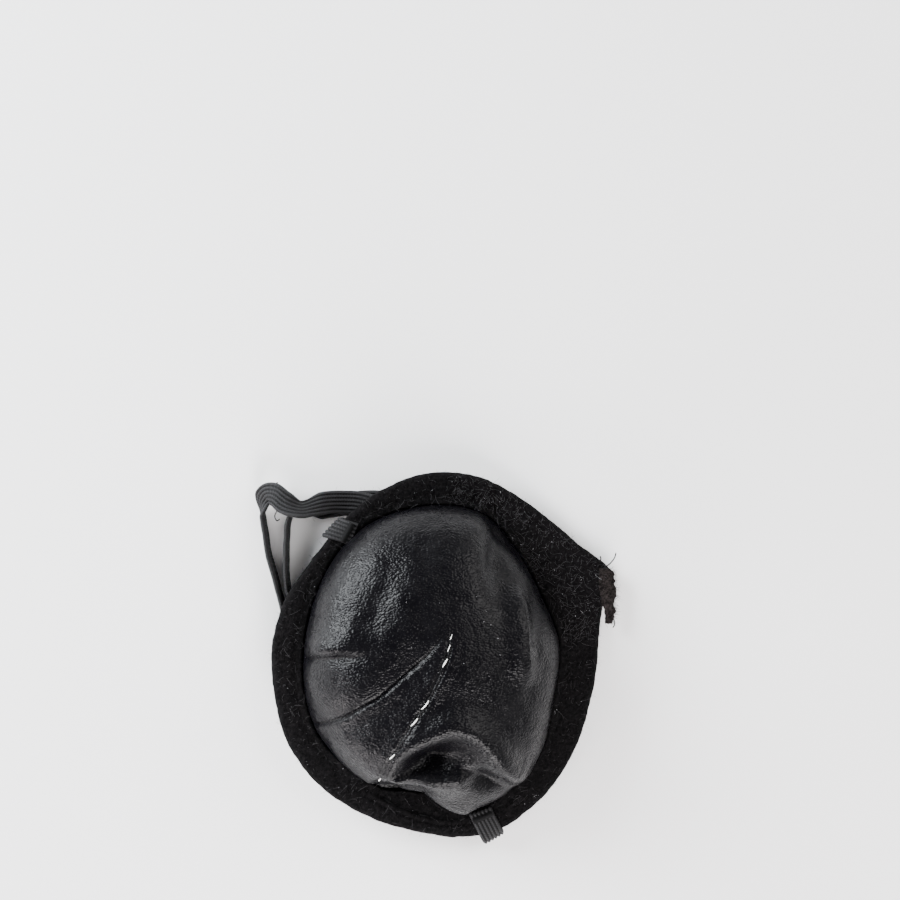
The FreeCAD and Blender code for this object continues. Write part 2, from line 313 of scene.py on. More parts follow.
def felt_finish(name, low, high):
    """Matt felt: matted fibres with a short nap."""
    finish = Finish(name, Roughness=0.95, Specular_IOR_Level=0.06)
    swirled = finish.warped(finish.place, finish.noise(1.6 * MM, 2.0), 3 * MM)
    matted = finish.noise(0.60 * MM, 4.0, 0.75, swirled)
    finish.colour(finish.between(matted, 0.40, 0.72), low, high)
    finish.bump(matted, 0.34 * MM)
    finish.bump(finish.noise(2.4 * MM, 3.0), 0.3 * MM, 0.7)
    return finish.material


WAVE_UNIT = 0.314      # length of one band of a wave texture of scale 1


def lining_finish():
    """Plain black woven lining, of 0.32 mm from thread to thread."""
    finish = Finish("black_lining", Roughness=0.8, Specular_IOR_Level=0.3)
    heights = []
    for direction in ("X", "Y"):
        wave = finish.add("TexWave", Vector=finish.place, Scale=WAVE_UNIT / (0.32 * MM),
                          Distortion=0.6)
        wave.bands_direction = direction
        heights.append(wave.outputs["Fac"])
    weave = finish.math("MAXIMUM", *heights)
    finish.colour(weave, (0.008, 0.008, 0.009), (0.024, 0.024, 0.026))
    finish.bump(weave, 0.08 * MM)
    finish.bump(finish.noise(2 * MM), 0.1 * MM)
    return finish.material


def elastic_finish():
    """Braided elastic: each rib is a row of slanted loops. The UVs are in metres."""
    finish = Finish("black_elastic", Roughness=0.65, Specular_IOR_Level=0.2)
    flat = finish.nodes.new("ShaderNodeUVMap")
    flat.uv_map = "braid"
    split = finish.add("SeparateXYZ", Vector=flat.outputs["UV"])
    slant = finish.math("PINGPONG", split.outputs["Y"], HALF_RIB)
    ahead = finish.math("ADD", split.outputs["X"], finish.math("MULTIPLY", slant, 0.9))
    loops = finish.math("SINE", finish.math("MULTIPLY", ahead, 2 * math.pi / (0.55 * MM)))
    # Painted shade: the colour is darkest in the grooves between the ribs and lightest on their
    # crests, times a random worn tone.
    painted_rib_shade = finish.between(slant, 0.1 * HALF_RIB, 0.9 * HALF_RIB)
    worn = finish.between(finish.noise(0.5 * MM), 0.25, 0.65, 0.45, 1.0)
    finish.colour(finish.math("MULTIPLY", painted_rib_shade, worn), (0.0008, 0.0008, 0.0010),
                  (0.0155, 0.0155, 0.0170))
    finish.bump(loops, 0.04 * MM, 0.8)
    finish.bump(finish.noise(0.25 * MM, 3.0), 0.08 * MM)
    return finish.material


def thread_finish(name, low, high):
    """Twisted sewing thread."""
    finish = Finish(name, Roughness=0.8, Specular_IOR_Level=0.15)
    finish.colour(finish.noise(0.3 * MM), low, high)
    finish.bump(finish.noise(0.12 * MM), 0.03 * MM)
    return finish.material


BLACK_VINYL = vinyl_finish()
BLACK_FELT = felt_finish("black_felt", (0.0002, 0.0002, 0.0003), (0.0078, 0.0071, 0.0077))
CUT_FELT = felt_finish("cut_felt", (0.0015, 0.0012, 0.0012), (0.030, 0.0245, 0.0235))
BLACK_LINING = lining_finish()
BLACK_ELASTIC = elastic_finish()
BLACK_THREAD = thread_finish("black_thread", (0.001, 0.001, 0.0012), (0.004, 0.004, 0.0045))
WHITE_THREAD = thread_finish("white_thread", (0.62, 0.62, 0.60), (0.85, 0.85, 0.83))
GREY_FIBRE = thread_finish("grey_fibre", (0.010, 0.010, 0.011), (0.050, 0.048, 0.050))
PALE_LINT = thread_finish("pale_lint", (0.05, 0.05, 0.053), (0.30, 0.30, 0.31))


# Elastic strap ---------------------

def spline_points(route):
    """Points along the smooth line that the route's points control."""
    data = bpy.data.curves.new("route", "CURVE")
    data.dimensions = "3D"
    data.resolution_u = 20
    line = data.splines.new("NURBS")
    line.points.add(len(route) - 1)
    for point, place in zip(line.points, route):
        point.co = (*place[:3], 1)
    line.order_u = 3
    line.use_endpoint_u = True
    curve = bpy.data.objects.new("route", data)
    mesh = bpy.data.meshes.new_from_object(curve)
    points = np.array([v.co[:] for v in mesh.vertices])
    bpy.data.meshes.remove(mesh)
    bpy.data.objects.remove(curve)
    bpy.data.curves.remove(data)
    return points


def route_sides():
    """Direction of the strap's width at each route point, longer where it is skewed."""
    found = []
    last = len(ROUTE) - 1
    for i, (x, y, z, roll) in enumerate(ROUTE):
        before = ROUTE[max(i - 1, 0)]
        after = ROUTE[min(i + 1, last)]
        heading = unit(np.array((after[0] - before[0], after[1] - before[1], 0.0)))
        across = np.cross((0, 0, 1), heading)
        roll = math.radians(roll)
        side = across * math.cos(roll) + np.array((0, 0, 1)) * math.sin(roll)
        if found and side @ found[-1] < 0:
            side = -side
        if i in SKEW:
            turn = math.radians(SKEW[i])
            c, s = math.cos(turn), math.sin(turn)
            side = np.array((side[0] * c - side[1] * s, side[0] * s + side[1] * c, side[2]))
            side /= c
        found.append(side)
    return np.array(found)


def resampled(at, known, values):
    """Rows of values at other places than those where they are known."""
    return np.stack([np.interp(at, known, column) for column in values.T], axis=1)


def strap_frames():
    """Places along the strap with the directions of its width and its thickness."""
    line = spline_points(ROUTE)
    last = len(ROUTE) - 1
    spans = np.linspace(0, last - 1, len(line))
    at = np.interp(spans, (0, 0.5, last - 1.5, last - 1), (0, 1, last - 1, last))
    side = resampled(at, np.arange(len(ROUTE)), route_sides())
    steps = np.concatenate(((0,), np.cumsum(np.linalg.norm(np.diff(line, axis=0), axis=1))))
    even = np.arange(0, steps[-1], 0.35 * MM)
    line, side = (resampled(even, steps, values) for values in (line, side))
    heading = unit(np.gradient(line, axis=0))
    skewed = np.linalg.norm(side, axis=1, keepdims=True)
    up = unit(np.cross(heading, side))
    side = unit(side) * np.maximum(skewed, 1.0)
    return line, side, up, even


def strap_profile():
    """Half of the strap's section: places across its width, and heights, both as shares."""
    across = np.linspace(-1, 1, RIBS * 6 + 1)
    ribs = np.abs(np.sin(np.pi * RIBS * (across + 1) / 2)) ** 0.9
    ends = np.sqrt(np.maximum(0.0, 1 - np.abs(across) ** 9))
    return across, (0.36 + 0.64 * ribs) * np.maximum(ends, 0.12)


def add_strap():
    """The elastic with its ribs, a little uneven, resting on the table and not in it."""
    line, side, up, along = strap_frames()
    across, height = strap_profile()
    wander = np.stack([roughly(line, 0.006, 3 + k) for k in range(3)], axis=1)
    line = line + wander * (0.12 * MM)
    width = EDGE * (1 + 0.035 * roughly(line, 0.004, 9))
    points = []
    for sign, order in ((1, slice(None)), (-1, slice(None, None, -1))):
        lift = sign * height[order] * STRAP_THICK / 2
        points.append(line[:, None] + side[:, None] * across[order][None, :, None]
                      * width[:, None, None] + up[:, None] * lift[None, :, None])
    grid = np.concatenate(points, axis=1)
    low = np.minimum(grid[:, :, 2].min(axis=1), 0.00002) - 0.00002
    grid[:, :, 2] -= low[:, None]
    rows, columns = grid.shape[:2]
    faces = grid_faces(rows, columns) + end_caps(rows, columns)
    strap = add_piece("elastic_strap", grid.reshape(-1, 3), faces, BLACK_ELASTIC)
    layer = strap.data.uv_layers.new(name="braid")
    v = np.concatenate((across, across[::-1])) * EDGE
    corners = np.array([loop.vertex_index for loop in strap.data.loops])
    flat = np.stack((along[corners // columns], v[corners % columns]), axis=1)
    layer.data.foreach_set("uv", flat.ravel())
    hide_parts("strap_left_end", "strap_under_left", "strap_run_to_left",
                "strap_left_fold", "strap_loop", "strap_run_back", "strap_under_middle",
                "strap_bottom_end")
    return strap, line, side, up


STRAP, STRAP_LINE, STRAP_SIDE, STRAP_UP = add_strap()


# The patch's plan and its lean -----

def closed_curve(points, count=60):
    """A smooth closed curve through the points, with that many places on each stretch."""
    knots = np.array(points + points[:1])
    gaps = np.linalg.norm(np.diff(knots, axis=0), axis=1)
    slopes = np.diff(knots, axis=0) / gaps[:, None]
    n = len(points)
    system = np.zeros((n, n))
    for i in range(n):
        system[i, i - 1] += gaps[i - 1]
        system[i, i] += 2 * (gaps[i - 1] + gaps[i])
        system[i, (i + 1) % n] += gaps[i]
    bends = np.linalg.solve(system, 6 * (slopes - np.roll(slopes, 1, axis=0)))
    places = []
    for i in range(n):
        gap, one, two = gaps[i], bends[i], bends[(i + 1) % n]
        t = np.linspace(0, gap, count, endpoint=False)[:, None]
        first = slopes[i] - gap * (2 * one + two) / 6
        places.append(knots[i] + first * t + one * t ** 2 / 2 + (two - one) * t ** 3 / gap / 6)
    return np.concatenate(places)


def spoke_radii(points):
    """Distance from MIDDLE to the curve along each spoke."""
    away = closed_curve(points) - MIDDLE
    angles = np.arctan2(away[:, 1], away[:, 0])
    order = np.argsort(angles)
    return np.interp(ANGLES, angles[order], np.linalg.norm(away, axis=1)[order],
                     period=2 * math.pi)


RIM = spoke_radii(OUTLINE)
OPENING = spoke_radii(WINDOW)
SPOKE = np.stack((np.cos(ANGLES), np.sin(ANGLES)), axis=1)


def on_plan(radii):
    """Level places at those distances along the spokes."""
    return MIDDLE + SPOKE * np.asarray(radii)[..., None]


def leaned(plan, height):
    """Level places at a height, leaned with the patch."""
    x, y = plan[..., 0], plan[..., 1]
    return np.stack((x * math.cos(LEAN) + height * math.sin(LEAN), y,
                     height * math.cos(LEAN) - x * math.sin(LEAN)), axis=-1)


def settling():
    """The move that puts the leaned rim where the CAD part's rim lies."""
    low, high = (np.array(corner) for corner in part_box("binding_tape"))
    ring = leaned(on_plan(RIM), FRONT_TOP / 2)
    return (low + high) / 2 - (ring.min(axis=0) + ring.max(axis=0)) / 2


SETTLE = settling()


def placed(plan, height):
    """Where a level place of the patch lies once it is leaned and settled."""
    return leaned(plan, height) + SETTLE


# Dome ------------------------------

# The dart's seam, from the rim to the middle, and the stitched edge of its folded flap,
# from the middle to the rim
SEAM = [(-0.0275, -0.0140), (-0.0230, -0.0122), (-0.0187, -0.0101), (-0.0160, -0.0083),
        (-0.0128, -0.0064), (-0.0076, -0.0019), (-0.0025, 0.0027), (0.0006, 0.0073)]
FLAP = [(0.0014, 0.0058), (0.0000, 0.0002), (-0.0034, -0.0070), (-0.0059, -0.0111),
        (-0.0098, -0.0172), (-0.0124, -0.0223), (-0.0142, -0.0258)]
# A crease that runs in from the left of the rim, and the crest above it
LEFT_CREASE = [(-0.0290, -0.0004), (-0.0218, 0.0011), (-0.0169, 0.0015), (-0.0140, 0.0026)]
LEFT_CREST = [(-0.0290, 0.0014), (-0.0218, 0.0027), (-0.0169, 0.0029), (-0.0122, 0.0030)]
# A crest that falls to both sides from a peak below the middle, and the lip under it
PEAK = [(-0.0132, -0.0252), (-0.0075, -0.0175), (-0.0018, -0.0133), (0.0028, -0.0122),
        (0.0077, -0.0153), (0.0126, -0.0219), (0.0162, -0.0265)]
LIP = [(-0.0112, -0.0230), (-0.0056, -0.0224), (-0.0009, -0.0226), (0.0039, -0.0223),
       (0.0072, -0.0232)]
# The edge of the flat top on the right
RIGHT_CREST = [(0.0138, 0.0160), (0.0149, 0.0091), (0.0154, 0.0044), (0.0158, 0.0001),
               (0.0164, -0.0060)]
# Where the dome's fold at the bottom stands off the rim: x, how far it is drawn in there, and
# how far the felt reaches in under it
GAP_AT = (-0.0150, -0.0100, -0.0045, 0.0005, 0.0040)
GAP_TUCK = (0, 0.0026, 0.0038, 0.0014, 0)
GAP_SHELF = (0, 0.0019, 0.0031, 0.0008, 0)
HANG_LEVEL = 0.42      # height of the fold's lip, as a share of the dome's
HANG = 0.0010          # and how far it hangs out
GAP_SINK = 0.0012      # how far the vinyl is pressed down in the gap
# Folds, each as: line, distance of the fold to its left, height, reach to the fold's left
# and right, sharpness (1 is a crease, 2 a round crest), and the shares of the line over
# which it fades in and out
FOLDS = [
    (SEAM, 0, -0.0006, 0.00026, 0.00022, 1.3, 0.02, 0.25),
    (SEAM, 0, -0.0012, 0.0045, 0.0044, 2, 0.10, 0.30),
    (SEAM, -0.00085, 0.0003, 0.00050, 0.0014, 2, 0.05, 0.50),
    (FLAP, 0, 0.0007, 0.0003, 0.0055, 2, 0.10, 0.05),
    (FLAP, -0.0001, -0.0005, 0.0003, 0.0004, 1.4, 0.06, 0.04),
    (FLAP, 0.0009, 0.0003, 0.0012, 0.0005, 2, 0.10, 0.10),
    (LEFT_CREASE, 0, -0.0008, 0.00035, 0.0008, 1.2, 0.02, 0.45),
    (LEFT_CREST, 0, 0.0018, 0.0037, 0.0015, 2, 0.34, 0.70),
    (PEAK, 0, 0.0022, 0.0032, 0.0027, 2, 0.12, 0.12),
    (LIP, 0, 0.0016, 0.0007, 0.0032, 2, 0.15, 0.25),
    (RIGHT_CREST, 0, 0.0016, 0.0016, 0.0028, 2, 0.25, 0.30),
]
# Swells and hollows, each as: middle, half-length and half-width, angle, and height
SWELLS = [
    ((-0.0026, -0.0192), (0.0054, 0.0027), 8, -0.0040),
    ((0.0092, -0.0236), (0.0045, 0.0020), -20, -0.0022),
    ((0.0113, 0.0205), (0.0032, 0.0085), 0, -0.0024),
    ((-0.0125, 0.0122), (0.0030, 0.0085), -22, -0.0007),
    ((-0.0165, -0.0060), (0.0075, 0.0038), 25, 0.0009),
    ((-0.0165, -0.0160), (0.0050, 0.0050), 0, 0.0009),
    ((0.0060, -0.0010), (0.0070, 0.0070), 0, 0.0005),
]
FOOT = 0.992           # size of the dome's foot against the window
RING_GAP = 0.00026     # from one ring of the dome to the next
FOOT_BAND = 0.0006     # the height beside the foot whose rings lie closer together
DOME_FLARE = 2.4       # how square the dome's shoulder is, seen from above
DOME_CROWN = 2.6       # and from the side


def dome_profile():
    """Sizes against the window, and heights, of the dome's rings from its top to its foot."""
    turn = np.linspace(0, math.pi / 2 * 0.985, 4000)
    size = FOOT * np.sin(turn) ** (2 / DOME_FLARE)
    height = np.cos(turn) ** (2 / DOME_CROWN)
    rise = DOME_TOP - LINING_TOP
    steps = np.hypot(np.diff(size) * OPENING.mean(), np.diff(height) * rise)
    along = np.concatenate(((0,), np.cumsum(steps)))
    even = np.linspace(0.0002, along[-1] - FOOT_BAND, int(along[-1] / RING_GAP))
    even = np.concatenate((even, np.linspace(along[-1] - FOOT_BAND, along[-1], 16)[1:]))
    return np.interp(even, along, size), np.interp(even, along, height)


def smooth_line(points, count=10):
    """Catmull-Rom curve through the points."""
    knots = np.array([points[0], *points, points[-1]])
    t = np.linspace(0, 1, count, endpoint=False)[:, None]
    places = []
    for a, b, c, d in zip(knots, knots[1:], knots[2:], knots[3:]):
        places.append(0.5 * (2 * b + (c - a) * t + (2 * a - 5 * b + 4 * c - d) * t ** 2
                             + (3 * b - a - 3 * c + d) * t ** 3))
    return np.concatenate(places + [knots[-1:]])


def beside(points, line):
    """How far each point lies from a line, to its left or its right, and how far along."""
    line = smooth_line(line)
    runs = np.diff(line, axis=0)
    lengths = np.linalg.norm(runs, axis=1)
    start = np.concatenate(((0,), np.cumsum(lengths)))
    away = np.full(len(points), 1.0)
    left = np.zeros(len(points))
    along = np.zeros(len(points))
    for a, run, length, before in zip(line, runs, lengths, start):
        off = points - a
        t = np.clip(off @ run / length ** 2, 0, 1)
        gap = np.linalg.norm(off - t[:, None] * run, axis=1)
        near = gap < away
        away[near] = gap[near]
        side = run[0] * off[:, 1] - run[1] * off[:, 0]
        left[near] = np.sign(side[near])
        along[near] = (before + t[near] * length) / start[-1]
    return away, left, along


def eased(value, low, high):
    """0 below low, 1 above high and smooth between."""
    t = np.clip((value - low) / (high - low), 0, 1)
    return t * t * (3 - 2 * t)


def relief(points):
    """How far each place on the dome stands above the plain dome."""
    total = np.zeros(len(points))
    waver = 0.00016 * np.stack([roughly(points, 0.0013, 20), roughly(points, 0.0013, 21)], -1)
    for line, shift, height, left_reach, right_reach, sharpness, fade_in, fade_out in FOLDS:
        away, left, along = beside(points[:, :2] + waver, line)
        away = away * left - shift
        reach = np.where(away > 0, left_reach, right_reach)
        fade = eased(along, -0.001, fade_in) * eased(1 - along, -0.001, fade_out)
        total += height * fade * np.exp(-(np.abs(away) / reach) ** sharpness)
    for middle, (long, wide), angle, height in SWELLS:
        turn = math.radians(angle)
        off = points[:, :2] - middle
        one = (off[:, 0] * math.cos(turn) + off[:, 1] * math.sin(turn)) / long
        two = (off[:, 1] * math.cos(turn) - off[:, 0] * math.sin(turn)) / wide
        total += height * np.exp(-one ** 2 - two ** 2)
    total += roughly(points, 0.009, 1) * 0.00028
    total += roughly(points, 0.0022, 2) * 0.00005
    return total


def dome_rings():
    """The dome's outer face with its folds: rings from the top to the foot, by spokes."""
    size, height = dome_profile()
    plan = on_plan(size[:, None] * OPENING[None, :])
    rise = DOME_TOP - LINING_TOP
    rings = placed(plan, (LINING_TOP + rise * height)[:, None])
    normals = grid_normals(rings)
    flat = rings.reshape(-1, 3)
    lift = relief(flat).reshape(rings.shape[:2])
    lift *= eased(height, 0.03, 0.30)[:, None]
    rings = rings + normals * lift[..., None]
    # The fold at the bottom stands back from the rim and hangs over the gap beside it
    x, y = rings[..., 0], rings[..., 1]
    low = eased(-y, 0.012, 0.018)
    level = height[:, None]
    tucked = np.interp(x, GAP_AT, GAP_TUCK)
    foot = height[-1]
    tuck = -tucked * eased(level, foot, foot + 0.03) * (1 - eased(level, HANG_LEVEL, 0.85))
    hanging = eased(x, -0.0125, -0.0085) * (1 - eased(x, 0.0020, 0.0090))
    reach = np.where(level > HANG_LEVEL, 0.13, 0.05)
    hang = HANG * hanging * np.exp(-((level - HANG_LEVEL) / reach) ** 2)
    rings[..., :2] += SPOKE * ((hang + tuck) * low)[..., None]
    sunk = tucked / max(GAP_TUCK) * (1 - eased(level, foot + 0.03, 0.30))
    rings[..., 2] -= GAP_SINK * sunk * low
    return rings


def flange_rings(level, inset):
    """The flat edge of a layer, from the dome's foot out to just inside the tape."""
    rings = [placed(on_plan(OPENING * FOOT), level + 0.0001)]
    for share in np.linspace(0, 1, 5):
        radii = OPENING * 1.003 * (1 - share) + (RIM - inset) * share
        rings.append(placed(on_plan(radii), level))
    return np.array(rings)


def shell_mesh(name, face, thickness, material):
    """A closed shell whose outer face is the rings, closed at the top by a fan."""
    inner = face - grid_normals(face) * thickness
    rows = len(face)
    points = np.concatenate((face.reshape(-1, 3), inner.reshape(-1, 3),
                             [face[0].mean(axis=0), inner[0].mean(axis=0)]))
    layer = rows * SPOKES
    faces = [f[::-1] for f in grid_faces(rows, SPOKES)]
    faces += grid_faces(rows, SPOKES, start=layer)
    edge = layer - SPOKES
    for j in range(SPOKES):
        k = (j + 1) % SPOKES
        faces.append((edge + j, edge + layer + j, edge + layer + k, edge + k))
        faces.append((2 * layer, j, k))
        faces.append((2 * layer + 1, layer + k, layer + j))
    return add_piece(name, points, faces, material)


def softened(rings, rounds):
    """The rings with their folds smoothed."""
    for _ in range(rounds):
        inside = (rings[:-2] + rings[2:]) / 4 + rings[1:-1] / 2
        rings = np.concatenate((rings[:1], inside, rings[-1:]))
        rings = (np.roll(rings, 1, axis=1) + np.roll(rings, -1, axis=1)) / 4 + rings / 2
    return rings


def add_dome():
    """The vinyl with its folds, and the lining inside it, which takes them up more softly."""
    dome = dome_rings()
    vinyl = np.concatenate((dome, flange_rings(VINYL_TOP - 0.00004, TAPE + 0.0003)))
    shell = shell_mesh("vinyl_dome", vinyl, VINYL * 0.9, BLACK_VINYL)
    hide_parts("vinyl_shell")
    soft = softened(dome, 14)
    soft = soft - grid_normals(soft) * (VINYL + 0.0002)
    flange = flange_rings(LINING_TOP - 0.00004, TAPE + 0.0003)
    flange[0] -= (flange[0] - placed(MIDDLE, LINING_TOP)) * 0.04
    lining = shell_mesh("lining_fabric", np.concatenate((soft[::2], flange)), LINING * 0.75,
                        BLACK_LINING)
    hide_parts("shell_lining")
    return dome, shell, lining


DOME, SHELL, LINING_CLOTH = add_dome()
DOME_NORMALS = grid_normals(DOME)


# Felt binding ----------------------

SEWN_RADII = OPENING * 1.05
BINDING_STITCHES = 52
FRONT_LEAF = slice(3, 30)      # the binding's rows from its inner edge to the fold
FOLDED_EDGE = slice(29, 40)
FOLD_INSET = 0.0012            # from the rim's outermost line to where the leaves are flat
CHANNEL = slice(-4, None)      # the rows of the channel inside the fold
BOTTOM = -0.02                 # y under which the rim is the patch's bottom
STITCH_WIDTH, STITCH_DEPTH = 0.0007, 0.00022
# The short crease across the top, the part pressed down at the bottom, and the groove
# outside it: where they lie in x, where they lie outside the window, and how deep they are
CREASE_X, CREASE_WIDTH, CREASE_DEPTH = 0.0104, 0.0003, 0.00045
PRESSED_X, PRESSED_EDGE, PRESSED_DEPTH = (-0.0170, -0.0120, 0.0020, 0.0060), 0.0011, 0.00045
GROOVE_X, GROOVE_OUT = (-0.0200, -0.0140, 0.0050, 0.0075), 0.0027
GROOVE_WIDTH, GROOVE_DEPTH = 0.0004, 0.00028


def add_binding():
    """Tape folded round the rim: front leaf, fold, back leaf, and the channel inside."""
    flat = np.column_stack((on_plan(RIM), np.zeros(SPOKES)))
    rim = RIM + 0.00010 * roughly(flat, 0.0016, 4) + 0.00014 * roughly(flat, 0.007, 5)
    opening = OPENING + 0.00016 * roughly(flat, 0.0040, 6) + 0.00006 * roughly(flat, 0.001, 7)
    # At the bottom the leaf reaches in under the dome's fold
    opening -= np.interp(flat[:, 0], GAP_AT, GAP_SHELF) * (flat[:, 1] < BOTTOM)
    back = RIM - BACK_LEAF + 0.00022 * roughly(flat, 0.006, 8)
    rows = [(opening + 0.00018, VINYL_TOP + 0.00003), (opening, VINYL_TOP + 0.00020),
            (opening + 0.00003, FRONT_TOP - 0.00026), (opening + 0.00022, FRONT_TOP - 0.00004)]
    for share in np.linspace(0.03, 1, 26):
        radii = (opening + 0.0003) * (1 - share) + (rim - FOLD_INSET) * share
        puff = 0.00014 * math.sin(math.pi * share)
        rows.append((radii, FRONT_TOP + puff))
    for turn in np.linspace(0.2, math.pi - 0.2, 11):
        rows.append((rim - FOLD_INSET + FOLD_INSET * math.sin(turn),
                     FRONT_TOP / 2 + FRONT_TOP / 2 * math.cos(turn)))
    for share in np.linspace(0, 1, 8):
        rows.append(((rim - FOLD_INSET) * (1 - share) + (back + 0.0002) * share, 0.00002))
    rows += [(back, 0.00022), (back + 0.00004, BACK_TOP - 0.00010),
             (back + 0.0003, BACK_TOP - 0.00001), (rim - TAPE - 0.0001, BACK_TOP - 0.00001),
             (rim - TAPE, VINYL_TOP + 0.00001), (opening + 0.0012, VINYL_TOP + 0.00001)]
    grid = np.array([placed(on_plan(radii), level) for radii, level in rows])
    normals = grid_normals(grid)
    lumps = roughly(grid.reshape(-1, 3), 0.0045, 10) * 0.00012
    lumps += roughly(grid.reshape(-1, 3), 0.0011, 11) * 0.00005
    lumps = lumps.reshape(grid.shape[:2])
    # The stitches pull the front leaf down in a row of dimples, and one short crease
    # crosses it at the top
    radii = np.linalg.norm(grid[..., :2] - placed(MIDDLE, FRONT_TOP)[:2], axis=-1)
    near = np.exp(-((radii - SEWN_RADII) / STITCH_WIDTH) ** 2)
    pulls = 0.6 + 0.4 * np.cos(ANGLES * BINDING_STITCHES)
    dents = near * pulls * STITCH_DEPTH
    x, y = grid[..., 0], grid[..., 1]
    across = (x - CREASE_X) / CREASE_WIDTH
    dents += np.exp(-across ** 2) * eased(y, 0.0270, 0.0290) * CREASE_DEPTH
    # At the bottom the leaf's inner part is pressed down beside the dome's fold, and a groove
    # runs along it further out
    bottom = y < BOTTOM
    out = radii - OPENING
    pressed = np.interp(x, PRESSED_X, (0, 1, 1, 0))
    dents += bottom * pressed * (1 - eased(out, PRESSED_EDGE, 0.0019)) * PRESSED_DEPTH
    grooved = np.interp(x, GROOVE_X, (0, 1, 1, 0))
    off_groove = (out - GROOVE_OUT) / GROOVE_WIDTH
    dents += bottom * grooved * np.exp(-off_groove ** 2) * GROOVE_DEPTH
    lumps[FRONT_LEAF] -= dents[FRONT_LEAF]
    lumps[CHANNEL] = 0
    grid = grid + normals * lumps[..., None]
    faces = [f[::-1] for f in grid_faces(len(rows), SPOKES, wrap_rows=True)]
    binding = add_piece("felt_binding", grid.reshape(-1, 3), faces, BLACK_FELT)
    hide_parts("binding_tape")
    return grid


BINDING = add_binding()


def add_tape_end():
    """The tape's second raw end, lapped over the first and sewn down at the corner."""
    top, bottom, steps, lines = 0.0174, 0.0060, 44, 14
    heights = np.linspace(top, bottom, steps)
    share = (top - heights) / (top - bottom)
    left = 0.0318 + 0.0012 * eased(share, 0.30, 0.9)
    right = np.interp(share, (0, 0.15, 0.42, 0.86, 1), (0.0344, 0.0351, 0.0352, 0.0349, 0.0343))
    edges = np.column_stack((right, heights, heights * 0))
    right = right + 0.00045 * roughly(edges, 0.0008, 12) + 0.0003 * roughly(edges, 0.003, 13)
    left = left + 0.00030 * roughly(edges, 0.0012, 14)
    across = np.linspace(0, 1, lines)
    x = left[:, None] * (1 - across) + right[:, None] * across
    fray = roughly(np.stack((x, x * 0 + 1, x * 0), -1).reshape(-1, 3), 0.001, 15)
    y = heights[:, None] + 0.0003 * fray.reshape(x.shape) * (share[:, None] > 0.97)
    crown = 1 - np.abs(2 * across - 1) ** 4
    level = FRONT_TOP + 0.0001 + 0.00075 * crown * (1 - 0.5 * eased(share, 0.8, 1))[:, None]
    upper = placed(np.stack((x, y), -1), level)
    upper[..., 2] += (roughly(upper.reshape(-1, 3), 0.0013, 16) * 0.00018).reshape(x.shape)
    lower = placed(np.stack((x, y), -1), FRONT_TOP - 0.00005)
    ring = np.concatenate((upper, lower[:, ::-1]), axis=1)
    faces = grid_faces(steps, 2 * lines) + end_caps(steps, 2 * lines)
    faces = [f[::-1] for f in faces]
    end = add_piece("felt_tape_end", ring.reshape(-1, 3), faces, CUT_FELT)
    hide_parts("binding_tape_end")
    return upper


TAPE_END = add_tape_end()


# Threads ---------------------------

def over_dome(x, y):
    """The place on the folded dome nearest over x, y, and the dome's normal there."""
    near = np.argmin(np.hypot(DOME[..., 0] - x, DOME[..., 1] - y))
    return DOME.reshape(-1, 3)[near], DOME_NORMALS.reshape(-1, 3)[near]


ARCH_POINTS = 7


def arch(start, end, rise, up=(0.0, 0.0, 1.0)):
    """A stitch: up out of the cloth, along, and down into it."""
    share = np.linspace(0, 1, ARCH_POINTS)[:, None]
    line = start * (1 - share) + end * share
    return line + np.asarray(up) * (rise * np.sin(np.pi * share) ** 0.6 - rise * 0.45)


# Where the dart's stitches show, as shares of the flap's edge, and how long and thick each
# one is; the seam hides most of the thin ones
DART_SLANT = math.radians(-10)
DART_LONGEST = 0.0026          # of a stitch on the steep side of the dome
DART_STITCHES = [
    (0.020, 0.0011, 0.00007), (0.085, 0.0014, 0.00009), (0.165, 0.0018, 0.00016),
    (0.355, 0.0022, 0.00015), (0.498, 0.0020, 0.00015), (0.690, 0.0014, 0.00012),
    (0.860, 0.0016, 0.00015),
]


def add_dart_stitches():
    """White stitches that grin along the flap's edge."""
    line = smooth_line(FLAP, 20)
    taper = np.sin(np.linspace(0.16, 0.84, ARCH_POINTS) * np.pi)
    paths = []
    radii = []
    for share, length, radius in DART_STITCHES:
        i = min(int(share * (len(line) - 1)), len(line) - 2)
        run = unit(line[i] - line[i + 1])
        c, s = math.cos(DART_SLANT), math.sin(DART_SLANT)
        slant = np.array((run[0] * c - run[1] * s, run[0] * s + run[1] * c))
        for _ in range(2):
            low, low_up = over_dome(*(line[i] - slant * length / 2))
            high, high_up = over_dome(*(line[i] + slant * length / 2))
            length *= min(1.0, DART_LONGEST / np.linalg.norm(high - low))
        up = unit(low_up + high_up)
        paths.append(arch(low + up * radius * 0.5, high + up * radius * 0.5, 1.8 * radius, up))
        radii.append(radius * taper)
    stitches = add_piece("dart_stitches", *tubes(paths, radii, 8), WHITE_THREAD)
    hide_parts("dart_thread")


def add_binding_stitches():
    """Black stitches, sunk in the felt beside the window."""
    leaf = BINDING[FRONT_LEAF]
    away = np.linalg.norm(leaf[..., :2] - placed(MIDDLE, FRONT_TOP)[:2], axis=-1)
    nearest = np.argmin(np.abs(away - SEWN_RADII), axis=0)
    row = leaf[nearest, np.arange(SPOKES)] - (0, 0, 0.00012)
    paths = []
    for i in range(BINDING_STITCHES):
        spokes = [int((i + share) / BINDING_STITCHES * SPOKES) for share in (0.18, 0.82)]
        paths.append(arch(*row[spokes], 0.00022))
    stitches = add_piece("binding_stitches", *tubes(paths, [0.00014] * len(paths), 6),
                         BLACK_THREAD)
    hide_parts("binding_thread")


TACK_STEPS = 4                 # of the strap's line, from its end to the middle of a tack


